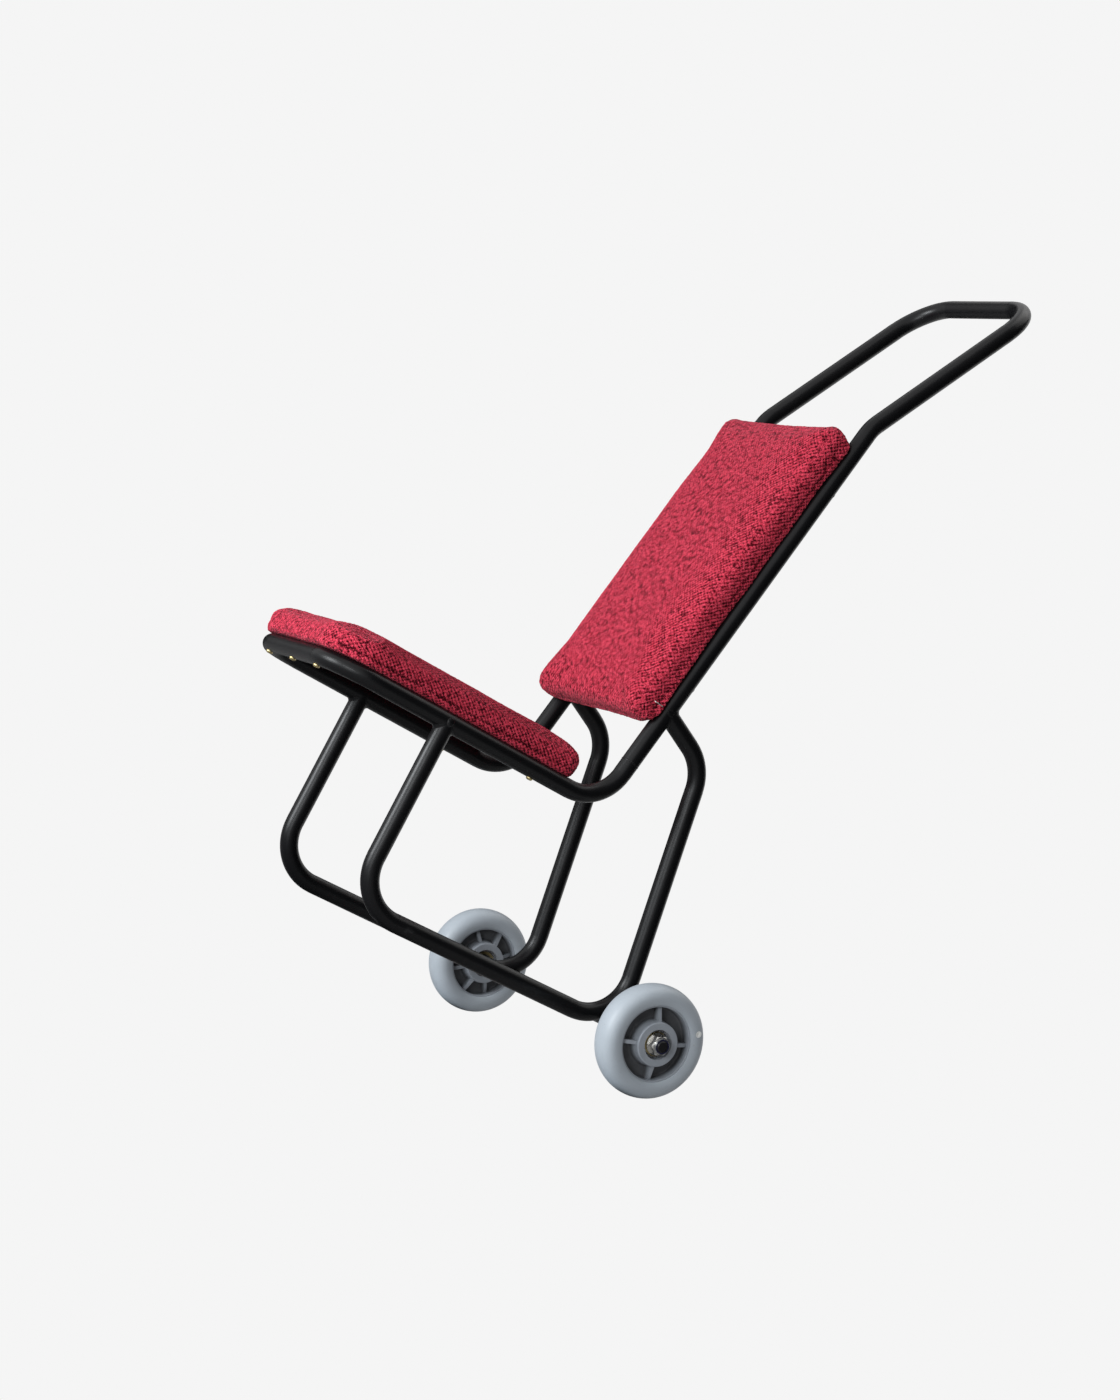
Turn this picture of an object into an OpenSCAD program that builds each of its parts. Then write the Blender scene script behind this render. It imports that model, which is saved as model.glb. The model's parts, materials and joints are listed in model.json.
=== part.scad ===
// Hand trolley for a stack of chairs: two bent tube bows, two leg loops, a padded seat and back,
// and a pair of ball-bearing wheels on a welded axle.
// X runs across the trolley, -Y is the front, +Z is up; it stands on its wheels and its front bends.

/* [Frame tube] */
// Outside diameter of the frame tube
tube_d = 25.4; // [22:0.1:30]
// Wall thickness of the frame tube
tube_wall = 2; // [1.2:0.1:3]
// Centre-line radius of every bend
bend_r = 63.5; // [55:0.5:72]
// Distance between the side frames, centre to centre
frame_w = 278.8; // [240:0.2:340]

/* [Bows] */
// Seat rail, from the back rail's line to the front bar
seat_len = 429.2; // [380:0.2:480]
// Rise of the seat rails towards the front, in degrees
seat_rise = 1.15; // [0:0.05:4]
// Back rail, from the seat rail's line to the handle bend
back_len = 645.5; // [600:0.5:700]
// Lean of the back rails from the runners, in degrees
back_angle = 78.2; // [72:0.1:84]
// Handle leg, from the handle bend to the handle bar
handle_len = 319.6; // [260:0.2:380]
// Slope of the handle legs from the runners, in degrees
handle_angle = 58.7; // [48:0.1:68]
// Straight end of the seat bow above its lower bend
bow_stub = 18; // [10:1:30]

/* [Leg loops] */
// Runner, corner to corner
runner_len = 434; // [390:1:480]
// Slope of the front uprights, in degrees
front_upright_angle = 88; // [84:0.1:92]
// Rear upright, corner to corner
rear_upright_len = 372.4; // [340:0.2:400]
// Slope of the rear uprights, in degrees
rear_upright_angle = 97.9; // [94:0.1:102]
// Slope of the arms that join the back rails, in degrees
arm_angle = 154.5; // [148:0.1:160]
// Height of the seat's rear corner above the runners
seat_h = 257.2; // [235:0.2:280]
// Seat's rear corner ahead of the runners' rear corner
seat_setback = 168.7; // [150:0.1:190]

/* [Axle] */
// Diameter of the axle bar
axle_d = 16; // [14:0.5:18]
// Depth of the axle's seat in the rear lower bends
axle_seat = 3.7; // [2:0.1:5]
// Place of the axle round the rear lower bends, in degrees
axle_angle = -46.7; // [-56:0.1:-36]
// Distance between the wheels' middle planes
track = 521; // [470:1:580]
// Outside diameter of the spacer sleeves
spacer_d = 22; // [20.5:0.5:24]
// Width of the axle nuts across their flats
nut_af = 24; // [22:0.5:27]
// Height of the nuts' hexagon
nut_hex_h = 11.5; // [9:0.5:14]
// Height of the nuts' round locking collar
nut_collar_h = 3.5; // [2:0.5:5]
// Outside diameter of the nuts' nylon lock rings
lock_ring_d = 19.4; // [18:0.2:20.5]
// Height of the nuts' nylon lock rings
lock_ring_h = 3; // [2:0.25:4]
// Outside diameter of the axle washers
washer_d = 30; // [26:0.5:31]
// Thickness of the axle washers
washer_t = 3; // [2:0.5:4]
// Axle end proud of the nut
axle_proud = 1; // [0.5:0.5:4]

/* [Wheels] */
// Diameter over the tread
wheel_d = 152.4; // [140:0.2:165]
// Width of the tyre
tyre_w = 46; // [44:0.5:52]
// Section radius of the tread's crown
tread_r = 39; // [34:1:48]
// Section radius of the tyre's shoulders
shoulder_r = 16; // [12:0.5:18]
// Section radius of the tyre's lips on the rim's edges
lip_r = 2; // [1:0.25:2.25]
// Diameter of the rim's edge
rim_d = 106; // [101:0.5:108]
// Width of the rim
rim_w = 39; // [34:0.5:40]
// Wall thickness of the rim
rim_wall = 3; // [2.5:0.25:5]
// Depth of the tyre's seat in the rim's outside
rim_groove = 2; // [1.5:0.25:2.5]
// Thickness of the hub's web
web_t = 8; // [6:0.5:11]
// Length of the hub's boss
boss_len = 49; // [47:0.5:56]
// Diameter of the boss at its face
boss_d = 59; // [54:0.5:62]
// Widening of the boss from its face to the web
boss_draft = 2; // [0:0.25:4]
// Rounding of the boss's and the rim's edges
hub_round = 1.5; // [0.5:0.25:2]
// Rounding of the web where it meets the boss and the rim
root_round = 3; // [1:0.5:5]
// Thickness of the hub's ribs
rib_t = 5; // [3:0.5:7]
// Ribs on the outer face, and main ribs on the inner face
rib_count = 4; // [3:1:6]
// Fall of the main ribs' edge below the boss's face
rib_drop = 3; // [1:0.5:6]
// Further fall of a main rib's edge from the boss to the rim
rib_slope = 8; // [5:0.5:9]
// Fall of the low ribs' edge below the main ribs
low_rib_drop = 4; // [2:0.5:4.5]
// Turn of the near wheel's ribs, in degrees
near_turn = 28; // [0:1:90]
// Turn of the far wheel's ribs, in degrees
far_turn = 0; // [0:1:90]
// Diameter of the plug in the tyre's side
plug_d = 9; // [6:0.5:11]
// Distance of the plug from the wheel's centre
plug_r = 62; // [58:0.5:64]
// Depth of the plug in the tyre
plug_depth = 6; // [4:0.5:8]
// Place of the plug round the wheel, from the first rib, in degrees
plug_angle = 16; // [0:1:90]

/* [Wheel bearings] */
// Outside diameter of the bearings
bearing_d = 40; // [38:0.5:42]
// Width of the bearings
bearing_w = 12; // [11:0.5:13]
// Depth of the bearings below the boss's faces
bearing_recess = 6; // [4:0.5:8]
// Diameter of a ball
ball_d = 6.8; // [6:0.1:7.4]
// Balls in a bearing
ball_count = 8; // [6:1:9]
// Radial thickness of the bearing rings at their edges
ring_t = 3.6; // [3.2:0.1:3.8]
// Thickness of a bearing shield
shield_t = 0.8; // [0.5:0.1:1]

/* [Pads] */
// Gap from the seat's rear corner to the seat pad
seat_pad_gap = 47; // [47:1:80]
// Reach of the seat pad past the front bar
seat_pad_reach = 6; // [0:0.5:8]
// Radius of the seat pad's front corners in plan
seat_front_r = 66; // [50:1:76]
// Radius of the seat pad's rear corners in plan
seat_rear_r = 26; // [20:1:40]
// Gap from the seat's rear corner to the back pad
back_pad_gap = 121; // [116:1:150]
// Length of the back pad
back_pad_len = 497; // [430:1:505]
// Radius of the back pad's corners in plan
back_r = 18; // [16:1:45]
// Height of the seat pad at its edge
seat_edge_h = 36; // [32:0.5:42]
// Height of the back pad at its edge
back_edge_h = 40; // [34:0.5:46]
// Rise of a pad from its edge to its crown
pad_crown = 10; // [5:0.5:14]
// Pull-in of a pad's sides between its corners
pad_waist = 2; // [0:0.25:4]
// Thickness of the pads' fabric
cover_t = 1.5; // [1:0.1:2]
// Fabric turned under a pad
cover_margin = 28; // [22:1:40]
// Thickness of the pads' boards
board_t = 12; // [9:0.5:14]

/* [Screws] */
// Diameter of the pad screws
screw_d = 5; // [4:0.5:6]
// Diameter of the screw heads
screw_head_d = 9.5; // [8:0.5:11]
// Height of the pan heads
pan_h = 3; // [2:0.25:4]
// Spacing of the screws along the front bar
front_screw_pitch = 82; // [60:1:90]
// Seat rail screws, from the seat's rear corner
rail_screw_at = 112; // [90:1:150]
// Back rail screws, from the ends of the back pad
back_screw_inset = 81; // [60:1:110]

/* [Hidden] */
$fn = 64;

// Clearances between pieces
weld_gap = 0.1;
fit_gap = 0.05;
soft_gap = 0.3;
shield_gap = 0.5;
// Every cut runs past the faces it opens by this much
overrun = 1;

// Colours of the finishes
black_coat = [0.03, 0.03, 0.035];
red_fabric = [0.55, 0.04, 0.08];
grey_rubber = [0.62, 0.67, 0.72];
grey_plastic = [0.4, 0.42, 0.45];
zinc = [0.8, 0.8, 0.76];
yellow_zinc = [0.75, 0.68, 0.42];
bearing_steel = [0.65, 0.65, 0.66];
black_board = [0.06, 0.055, 0.05];
pale_foam = [0.9, 0.85, 0.65];
white_plastic = [0.92, 0.92, 0.9];
blue_nylon = [0.1, 0.1, 0.22];

tube_r = tube_d / 2;
axle_r = axle_d / 2;
wheel_r = wheel_d / 2;
rim_r = rim_d / 2;
side_x = frame_w / 2;
wheel_x = track / 2;

// Side view: points are [y, z], with the axle at zero and the runners level
function polar(angle, length) = [length * cos(angle), length * sin(angle)];
function cross_2d(a, b) = a[0] * b[1] - a[1] * b[0];
function crossing(p, along, q, across) = p + along * cross_2d(q - p, across) / cross_2d(along, across);
function unit(v) = v / norm(v);
function on_side(p, x) = [x, p[0], p[1]];
function arc(centre, r, from, to, steps) =
    [for (k = [0 : steps]) centre + polar(from + (to - from) * k / steps, r)];

seat_dir = polar(180 - seat_rise, 1);
back_dir = polar(back_angle, 1);
handle_dir = polar(handle_angle, 1);
arm_dir = polar(arm_angle, 1);

rear_bend = [-bend_r * tan(rear_upright_angle / 2), bend_r];
axle_reach = bend_r + tube_r + axle_r - axle_seat;
runner_rear = -rear_bend - polar(axle_angle, axle_reach);
runner_front = runner_rear - [runner_len, 0];
front_bend = runner_front + [bend_r * tan((180 - front_upright_angle) / 2), bend_r];
rear_top = runner_rear + polar(rear_upright_angle, rear_upright_len);
seat_corner = runner_rear + [-seat_setback, seat_h];
front_bar = seat_corner + seat_len * seat_dir;
back_top = seat_corner + back_len * back_dir;
handle_bar = back_top + handle_len * handle_dir;
arm_end = crossing(rear_top, arm_dir, seat_corner, back_dir);
upright_end = crossing(runner_front, polar(front_upright_angle, 1), seat_corner, seat_dir);
bow_split = bend_r * tan((back_angle + seat_rise) / 2) + bow_stub;

// Tilt from level runners to the stand on wheels and front bends
front_reach = norm(front_bend);
front_bend_out_r = bend_r + tube_r;
rest_tilt = asin((wheel_r - front_bend_out_r) / front_reach) - atan2(-front_bend[1], -front_bend[0]);

// Pad sections: insets as shares of the edge height, heights as shares of it
pad_side_shares = [[0.16, 0], [0.05, 0.06], [0.03, 0.14], [0.07, 0.3], [0, 0.56], [0.05, 0.82], [0.2, 0.98]];
// Pad crowns: insets as shares of half the width, heights as shares of the crown
pad_crown_shares = [[0.15, 0.3], [0.32, 0.66], [0.52, 0.9], [0.72, 1]];
corner_steps = 5;
side_shares = [-0.5, 0, 0.5];
crown_corner_share = 0.35;
pad_w = frame_w + tube_d;
pad_seat = tube_r + soft_gap;
board_low = cover_t + soft_gap;
board_high = board_low + board_t;
seat_pad_low = -(seat_len + tube_r + seat_pad_reach);
seat_pad_len = -seat_pad_low - seat_pad_gap;

// Wheels: places along the axle, from a wheel's middle plane
boss_face = boss_len / 2;
bearing_face = boss_face - bearing_recess;
bearing_foot = bearing_face - bearing_w;
washer_face = bearing_face + washer_t;
nut_hex_face = washer_face + nut_hex_h;
nut_face = nut_hex_face + nut_collar_h;
axle_end = wheel_x + nut_face + axle_proud;
ball_pitch_r = (axle_r + bearing_d / 2) / 2;
race_r = ball_d / 2 + fit_gap;
inner_land_r = axle_r + ring_t;
outer_land_r = bearing_d / 2 - ring_t;
hub_bore_r = outer_land_r + ring_t / 2;
sleeve_r = axle_r + ring_t / 2;
rim_edge = rim_w / 2;
rim_seat_r = rim_r - rim_groove;
rim_in_r = rim_seat_r - rim_wall;
flange_r = rim_r - fit_gap;
lip_face = rim_edge + fit_gap;
lip_steps = 6;
shoulder_steps = 12;
tread_steps = 12;
round_steps = 5;
shoulder_x = tyre_w / 2 - shoulder_r;
tread_centre = wheel_r - tread_r;
shoulder_centre = tread_centre + sqrt(pow(tread_r - shoulder_r, 2) - pow(shoulder_x, 2));
tread_angle = atan2(shoulder_x, shoulder_centre - tread_centre);
lip_centre = shoulder_centre - sqrt(pow(shoulder_r - lip_r, 2) - pow(lip_face - shoulder_x, 2));
lip_angle = atan2(lip_face - shoulder_x, lip_centre - shoulder_centre);
function tyre_side(r) = shoulder_x + sqrt(pow(shoulder_r, 2) - pow(r - shoulder_centre, 2));
plug_face = (tyre_side(plug_r - plug_d / 2) + tyre_side(plug_r + plug_d / 2)) / 2;

// Bent tube along a path of corner points; each bend starts with a fine step and laps the straight tube
bend_mark = 0.15;
bend_lap = 1.5;
function legs(path) = [for (i = [1 : len(path) - 1]) unit(path[i] - path[i - 1])];
function turn(a, b) = acos(a * b);
function trim(dirs, i) =
    i == 0 || i == len(dirs) ? 0 : bend_r * tan(turn(dirs[i - 1], dirs[i]) / 2);

module along(from, dir) {
    side = unit(abs(dir[0]) < abs(dir[1]) + abs(dir[2]) ? cross([1, 0, 0], dir) : cross([0, 1, 0], dir));
    other = cross(dir, side);
    multmatrix([for (k = [0 : 2]) [side[k], other[k], dir[k], from[k]]])
        children();
}

// Section of the tube, drawn thinner by a step on both of its faces
module tube_section(step) {
    difference() {
        circle(r = tube_r - step);
        circle(r = tube_r - tube_wall + step);
    }
}

module bent_tube(path) {
    dirs = legs(path);
    for (i = [0 : len(dirs) - 1]) {
        start = path[i] + dirs[i] * trim(dirs, i);
        run = norm(path[i + 1] - path[i]) - trim(dirs, i) - trim(dirs, i + 1);
        along(start, dirs[i])
            linear_extrude(height = run)
                tube_section(0);
    }
    for (i = [1 : len(dirs) - 1]) {
        inward = unit(dirs[i] - dirs[i - 1] * (dirs[i] * dirs[i - 1]));
        centre = path[i] - dirs[i - 1] * trim(dirs, i) + inward * bend_r;
        normal = cross(dirs[i - 1], inward);
        multmatrix([for (k = [0 : 2]) [-inward[k], dirs[i - 1][k], normal[k], centre[k]]])
            rotate([0, 0, -bend_lap])
                rotate_extrude(angle = turn(dirs[i - 1], dirs[i]) + 2 * bend_lap)
                    translate([bend_r, 0])
                        tube_section(bend_mark);
    }
}

// Round bar on a line of the side view, used to cope what meets that line
module side_bar(x, p, dir, low, high, r) {
    along(on_side(p + low * dir, x), [0, dir[0], dir[1]])
        cylinder(h = high - low, r = r);
}

// From level runners with the axle at zero to the standing trolley
module standing() {
    translate([0, -stand_mid_y, wheel_r])
        rotate([rest_tilt, 0, 0])
            children();
}

module on_seat() {
    translate(on_side(seat_corner, 0))
        rotate([-seat_rise, 0, 0])
            children();
}

module on_back() {
    translate(on_side(seat_corner, 0))
        rotate([back_angle, 0, 0])
            children();
}

// Frame tubes
bow_sides = [-side_x, side_x];
function bow_path(points) = concat(
    [for (p = points) on_side(p, -side_x)],
    [for (i = [len(points) - 1 : -1 : 0]) on_side(points[i], side_x)]);

module back_screw_spots() {
    for (x = bow_sides)
        for (y = [back_pad_gap + back_screw_inset, back_pad_gap + back_pad_len - back_screw_inset])
            translate([x, y, 0])
                children();
}

module seat_screw_spots() {
    for (k = [-1 : 1])
        translate([k * front_screw_pitch, -seat_len, 0])
            children();
    for (x = bow_sides)
        translate([x, -rail_screw_at, 0])
            children();
}

module screw_hole() {
    translate([0, 0, -tube_r - overrun])
        cylinder(h = pad_seat + board_high + tube_r, r = screw_d / 2 + weld_gap);
}

// Countersunk head, or its seat with a gap, widened by its reach behind the tube
module countersink(gap, reach) {
    depth = screw_head_d / 2 - screw_d / 2;
    translate([0, 0, -tube_r - reach])
        cylinder(h = depth + reach, r1 = screw_head_d / 2 + gap + reach, r2 = screw_d / 2 + gap);
}

module handle_bow() {
    start = seat_corner + (bow_split + weld_gap) * back_dir;
    color(black_coat)
        standing()
            difference() {
                bent_tube(bow_path([start, back_top, handle_bar]));
                on_back()
                    back_screw_spots() {
                        screw_hole();
                        countersink(weld_gap, overrun);
                    }
            }
}

module seat_bow() {
    end = seat_corner + bow_split * back_dir;
    color(black_coat)
        standing()
            difference() {
                bent_tube(bow_path([end, seat_corner, front_bar]));
                on_seat()
                    seat_screw_spots()
                        screw_hole();
            }
}

module leg_loop(x) {
    cope_r = tube_r + weld_gap;
    path = [arm_end, rear_top, runner_rear, runner_front, upright_end];
    color(black_coat)
        standing()
            difference() {
                bent_tube([for (p = path) on_side(p, x)]);
                side_bar(x, arm_end, back_dir, -tube_d, tube_d, cope_r);
                side_bar(x, upright_end, seat_dir, -tube_d, tube_d, cope_r);
                translate([x - tube_d, 0, 0])
                    rotate([0, 90, 0])
                        cylinder(h = 2 * tube_d, r = axle_r + weld_gap);
            }
}

module left_leg_loop() { leg_loop(side_x); }

module right_leg_loop() { leg_loop(-side_x); }

// Axle and what is fixed on it
module on_axle(side) {
    translate([0, -stand_mid_y, wheel_r])
        rotate([0, side * 90, 0])
            children();
}

module ring(low, high, r_in, r_out) {
    translate([0, 0, low])
        difference() {
            cylinder(h = high - low, r = r_out);
            translate([0, 0, -overrun])
                cylinder(h = high - low + 2 * overrun, r = r_in);
        }
}

axle_chamfer = axle_d / 10;

module axle() {
    color(black_coat)
        on_axle(1) {
            translate([0, 0, -axle_end + axle_chamfer])
                cylinder(h = 2 * (axle_end - axle_chamfer), r = axle_r);
            for (tip = [0, 1])
                mirror([0, 0, tip])
                    translate([0, 0, axle_end - axle_chamfer])
                        cylinder(h = axle_chamfer, r1 = axle_r, r2 = axle_r - axle_chamfer);
        }
}

module axle_spacer(side) {
    color(black_coat)
        on_axle(side)
            ring(side_x + tube_r + soft_gap, wheel_x - bearing_face - fit_gap, axle_r + fit_gap, spacer_d / 2);
}

module axle_washer(side) {
    color(zinc)
        on_axle(side)
            ring(wheel_x + bearing_face + fit_gap, wheel_x + washer_face, axle_r + fit_gap, washer_d / 2);
}

module axle_nut(side) {
    corner_r = nut_af / 2 / cos(30);
    collar_r = nut_af / 2 - (corner_r - nut_af / 2) / 2;
    bevel = corner_r - nut_af / 2;
    color(zinc)
        on_axle(side)
            difference() {
                union() {
                    intersection() {
                        translate([0, 0, wheel_x + washer_face])
                            cylinder(h = nut_hex_h, r = corner_r, $fn = 6);
                        translate([0, 0, wheel_x + washer_face])
                            cylinder(h = nut_hex_h, r1 = nut_af / 2 + nut_hex_h, r2 = nut_af / 2);
                        translate([0, 0, wheel_x + washer_face])
                            cylinder(h = nut_hex_h, r1 = nut_af / 2 + bevel / 2, r2 = nut_af / 2 + nut_hex_h);
                    }
                    translate([0, 0, wheel_x + nut_hex_face])
                        cylinder(h = nut_collar_h, r1 = collar_r, r2 = collar_r - bevel / 2);
                }
                translate([0, 0, wheel_x + washer_face - overrun])
                    cylinder(h = nut_face - washer_face + 2 * overrun, r = axle_r + fit_gap);
                translate([0, 0, wheel_x + nut_face - lock_ring_h])
                    cylinder(h = lock_ring_h + overrun, r = lock_ring_d / 2);
            }
}

// Nylon ring held in the nut's collar
module lock_ring(side) {
    color(blue_nylon)
        on_axle(side)
            ring(wheel_x + nut_face - lock_ring_h + fit_gap, wheel_x + nut_face - fit_gap,
                axle_r + fit_gap, lock_ring_d / 2 - fit_gap);
}

module hub_sleeve(side) {
    color(bearing_steel)
        on_axle(side)
            ring(wheel_x - bearing_foot + fit_gap, wheel_x + bearing_foot - fit_gap, axle_r + fit_gap, sleeve_r);
}

// Wheels: the two bearings of a wheel lie mirrored about its middle plane
module on_wheel(side) {
    on_axle(side)
        translate([0, 0, wheel_x])
            rotate([0, 0, side > 0 ? near_turn + 90 : 90 - far_turn])
                children();
}

module both_bearings() {
    for (tip = [0, 1])
        mirror([0, 0, tip])
            children();
}

module race() {
    translate([0, 0, (bearing_face + bearing_foot) / 2])
        rotate_extrude()
            translate([ball_pitch_r, 0])
                circle(r = race_r);
}

module bearing_outer_rings(side) {
    color(bearing_steel)
        on_wheel(side)
            both_bearings()
                difference() {
                    ring(bearing_foot, bearing_face, outer_land_r, bearing_d / 2);
                    race();
                }
}

module bearing_inner_rings(side) {
    color(bearing_steel)
        on_wheel(side)
            both_bearings()
                difference() {
                    ring(bearing_foot, bearing_face, axle_r + fit_gap, inner_land_r);
                    race();
                }
}

module bearing_balls(side) {
    color(bearing_steel)
        on_wheel(side)
            both_bearings()
                for (k = [0 : ball_count - 1])
                    rotate([0, 0, k * 360 / ball_count])
                        translate([ball_pitch_r, 0, (bearing_face + bearing_foot) / 2])
                            sphere(d = ball_d);
}

module bearing_shields(side) {
    color(yellow_zinc)
        on_wheel(side)
            both_bearings()
                for (low = [bearing_foot + shield_gap, bearing_face - shield_gap - shield_t])
                    ring(low, low + shield_t, inner_land_r + shield_gap, outer_land_r - fit_gap);
}

function mirrored(section) = [for (p = reversed(section)) [p[0], -p[1]]];

// The tyre's section, in [radius, place along the axle]: lips over the rim, shoulders and a crowned tread
module tyre_section() {
    seat_edge = rim_edge - rim_groove;
    outer_side = concat(
        [[rim_seat_r + fit_gap, seat_edge], [rim_r, seat_edge], [rim_r, lip_face]],
        arc([lip_centre, lip_face], lip_r, 180, lip_angle, lip_steps),
        arc([shoulder_centre, shoulder_x], shoulder_r, lip_angle, tread_angle, shoulder_steps),
        arc([tread_centre, 0], tread_r, tread_angle, 0, tread_steps));
    polygon(concat(outer_side, mirrored(outer_side)));
}

module tyre(side) {
    color(grey_rubber)
        on_wheel(side)
            difference() {
                rotate_extrude()
                    tyre_section();
                plug_spot()
                    cylinder(h = plug_depth + overrun, r = plug_d / 2 + fit_gap);
            }
}

module plug_spot() {
    rotate([0, 0, plug_angle])
        translate([plug_r, 0, plug_face - plug_depth])
            children();
}

module tyre_plug(side) {
    dish_r = plug_d / 4;
    color(white_plastic)
        on_wheel(side)
            plug_spot()
                difference() {
                    cylinder(h = plug_depth, r = plug_d / 2);
                    translate([0, 0, plug_depth - dish_r / 2])
                        cylinder(h = dish_r, r = dish_r);
                }
}

// A rib stands between the boss and the rim, its edge falling towards the rim
module rib(drop) {
    boss_edge = boss_face - rib_drop - drop;
    foot_r = (bearing_d + boss_d) / 4;
    head_r = rim_in_r + rim_wall / 2;
    rotate([90, 0, 0])
        translate([0, 0, -rib_t / 2])
            linear_extrude(height = rib_t)
                polygon([[foot_r, 0], [foot_r, boss_edge], [head_r, boss_edge - rib_slope], [head_r, 0]]);
}

module hub_section() {
    seat_edge = rim_edge - rim_groove + fit_gap;
    boss_r = boss_d / 2 - hub_round;
    boss_foot_r = boss_d / 2 + boss_draft + root_round;
    rim_foot_r = rim_in_r - root_round;
    rim_lip_r = rim_in_r + rim_wall / 4 + hub_round;
    root_x = web_t / 2 + root_round;
    outer_side = concat(
        [[sleeve_r, boss_face]],
        arc([boss_r, boss_face - hub_round], hub_round, 90, 0, round_steps),
        arc([boss_foot_r, root_x], root_round, 180, 270, round_steps),
        arc([rim_foot_r, root_x], root_round, 270, 360, round_steps),
        arc([rim_lip_r, rim_edge - hub_round], hub_round, 180, 90, round_steps),
        [[flange_r, rim_edge], [flange_r, seat_edge], [rim_seat_r, seat_edge]]);
    polygon(concat(outer_side, mirrored(outer_side)));
}

module hub(side) {
    color(grey_plastic)
        on_wheel(side)
            difference() {
                union() {
                    rotate_extrude()
                        hub_section();
                    for (k = [0 : rib_count - 1])
                        rotate([0, 0, k * 360 / rib_count]) {
                            rib(0);
                            mirror([0, 0, 1])
                                rib(0);
                            mirror([0, 0, 1])
                                rotate([0, 0, 180 / rib_count])
                                    rib(low_rib_drop);
                        }
                }
                translate([0, 0, -boss_face - overrun])
                    cylinder(h = boss_len + 2 * overrun, r = hub_bore_r);
                both_bearings()
                    translate([0, 0, bearing_foot])
                        cylinder(h = bearing_w + bearing_recess + overrun, r = bearing_d / 2 + fit_gap);
            }
}

// Pads: outline of a pad drawn in by an inset, its sides pulled in between the corners
function pad_outline(low, length, r_low, r_high, inset, waist) =
    let(
        half = pad_w / 2 - inset,
        y0 = low + inset,
        y1 = low + length - inset,
        r0 = max(r_low - inset, inset * crown_corner_share),
        r1 = max(r_high - inset, inset * crown_corner_share),
        corners = [
            [half - r0, y0 + r0, r0, -90], [half - r1, y1 - r1, r1, 0],
            [r1 - half, y1 - r1, r1, 90], [r0 - half, y0 + r0, r0, 180]
        ]
    )
    [for (c = [0 : 3])
        let(
            this = corners[c],
            next = corners[(c + 1) % 4],
            out = polar(this[3] + 90, 1),
            from = [this[0], this[1]] + this[2] * out,
            to = [next[0], next[1]] + next[2] * out
        )
        each concat(
            [for (k = [0 : corner_steps])
                [this[0], this[1]] + polar(this[3] + 90 * k / corner_steps, this[2])],
            [for (s = side_shares)
                from + (to - from) * (1 + s) / 2 - out * waist * (1 - s * s)])];

function pad_section(edge_h) = concat(
    [[edge_h * pad_side_shares[0][0] + cover_margin, 0]],
    [for (p = pad_side_shares) edge_h * p],
    [for (p = pad_crown_shares) [pad_w / 2 * p[0], edge_h + pad_crown * p[1]]]);

// A section drawn in by a thickness, square to its run
function drawn_in(section, depth) =
    [for (i = [0 : len(section) - 1])
        let(
            before = section[max(i - 1, 0)],
            after = section[min(i + 1, len(section) - 1)],
            run = unit(after - before)
        )
        section[i] + depth * [run[1], -run[0]]];

function ring_at(low, length, r_low, r_high, p) =
    [for (q = pad_outline(low, length, r_low, r_high, p[0], pad_waist)) [q[0], q[1], p[1]]];

module skin(rings) {
    n = len(rings[0]);
    last = len(rings) - 1;
    polyhedron(
        points = [for (r = rings) each r],
        faces = concat(
            [for (j = [1 : n - 2]) [0, j, j + 1]],
            [for (i = [0 : last - 1])
                for (j = [0 : n - 1])
                    each [
                        [i * n + j, (i + 1) * n + (j + 1) % n, i * n + (j + 1) % n],
                        [i * n + j, (i + 1) * n + j, (i + 1) * n + (j + 1) % n]
                    ]],
            [for (j = [1 : n - 2]) [last * n, last * n + j + 1, last * n + j]]));
}

function reversed(list) = [for (i = [len(list) - 1 : -1 : 0]) list[i]];

module pad_cover(low, length, r_low, r_high, edge_h) {
    outer = pad_section(edge_h);
    inner = drawn_in(outer, cover_t);
    translate([0, 0, pad_seat])
        skin([for (p = concat(reversed(outer), inner)) ring_at(low, length, r_low, r_high, p)]);
}

module pad_foam(low, length, r_low, r_high, edge_h) {
    inner = drawn_in(pad_section(edge_h), cover_t + soft_gap);
    above = [for (p = inner) if (p[1] > board_high) p];
    section = concat([[board_inset(edge_h), board_high]], above);
    translate([0, 0, pad_seat])
        skin([for (p = reversed(section)) ring_at(low, length, r_low, r_high, p)]);
}

function board_inset(edge_h) = edge_h * pad_side_shares[0][0] + cover_t + soft_gap;

// Plan of a board: a rounded rectangle whose two ends have their own corner radius
module board_plan(low, length, r_low, r_high, inset) {
    half = pad_w / 2 - inset - pad_waist;
    y0 = low + inset + pad_waist;
    y1 = low + length - inset - pad_waist;
    r0 = r_low - inset;
    r1 = r_high - inset;
    translate([-half, y0 + r0])
        square([2 * half, y1 - y0 - r0 - r1]);
    translate([r0 - half, y0])
        square([2 * (half - r0), r0]);
    translate([r1 - half, y1 - r1])
        square([2 * (half - r1), r1]);
    for (x = [-1, 1]) {
        translate([x * (half - r0), y0 + r0])
            circle(r = r0);
        translate([x * (half - r1), y1 - r1])
            circle(r = r1);
    }
}

module pad_board(low, length, r_low, r_high, edge_h) {
    translate([0, 0, pad_seat + board_low])
        linear_extrude(height = board_t)
            board_plan(low, length, r_low, r_high, board_inset(edge_h));
}

module seat_board() {
    color(black_board)
        standing()
            on_seat()
                difference() {
                    pad_board(seat_pad_low, seat_pad_len, seat_front_r, seat_rear_r, seat_edge_h);
                    seat_screw_spots()
                        screw_hole();
                }
}

module seat_foam() {
    color(pale_foam)
        standing()
            on_seat()
                pad_foam(seat_pad_low, seat_pad_len, seat_front_r, seat_rear_r, seat_edge_h);
}

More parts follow.
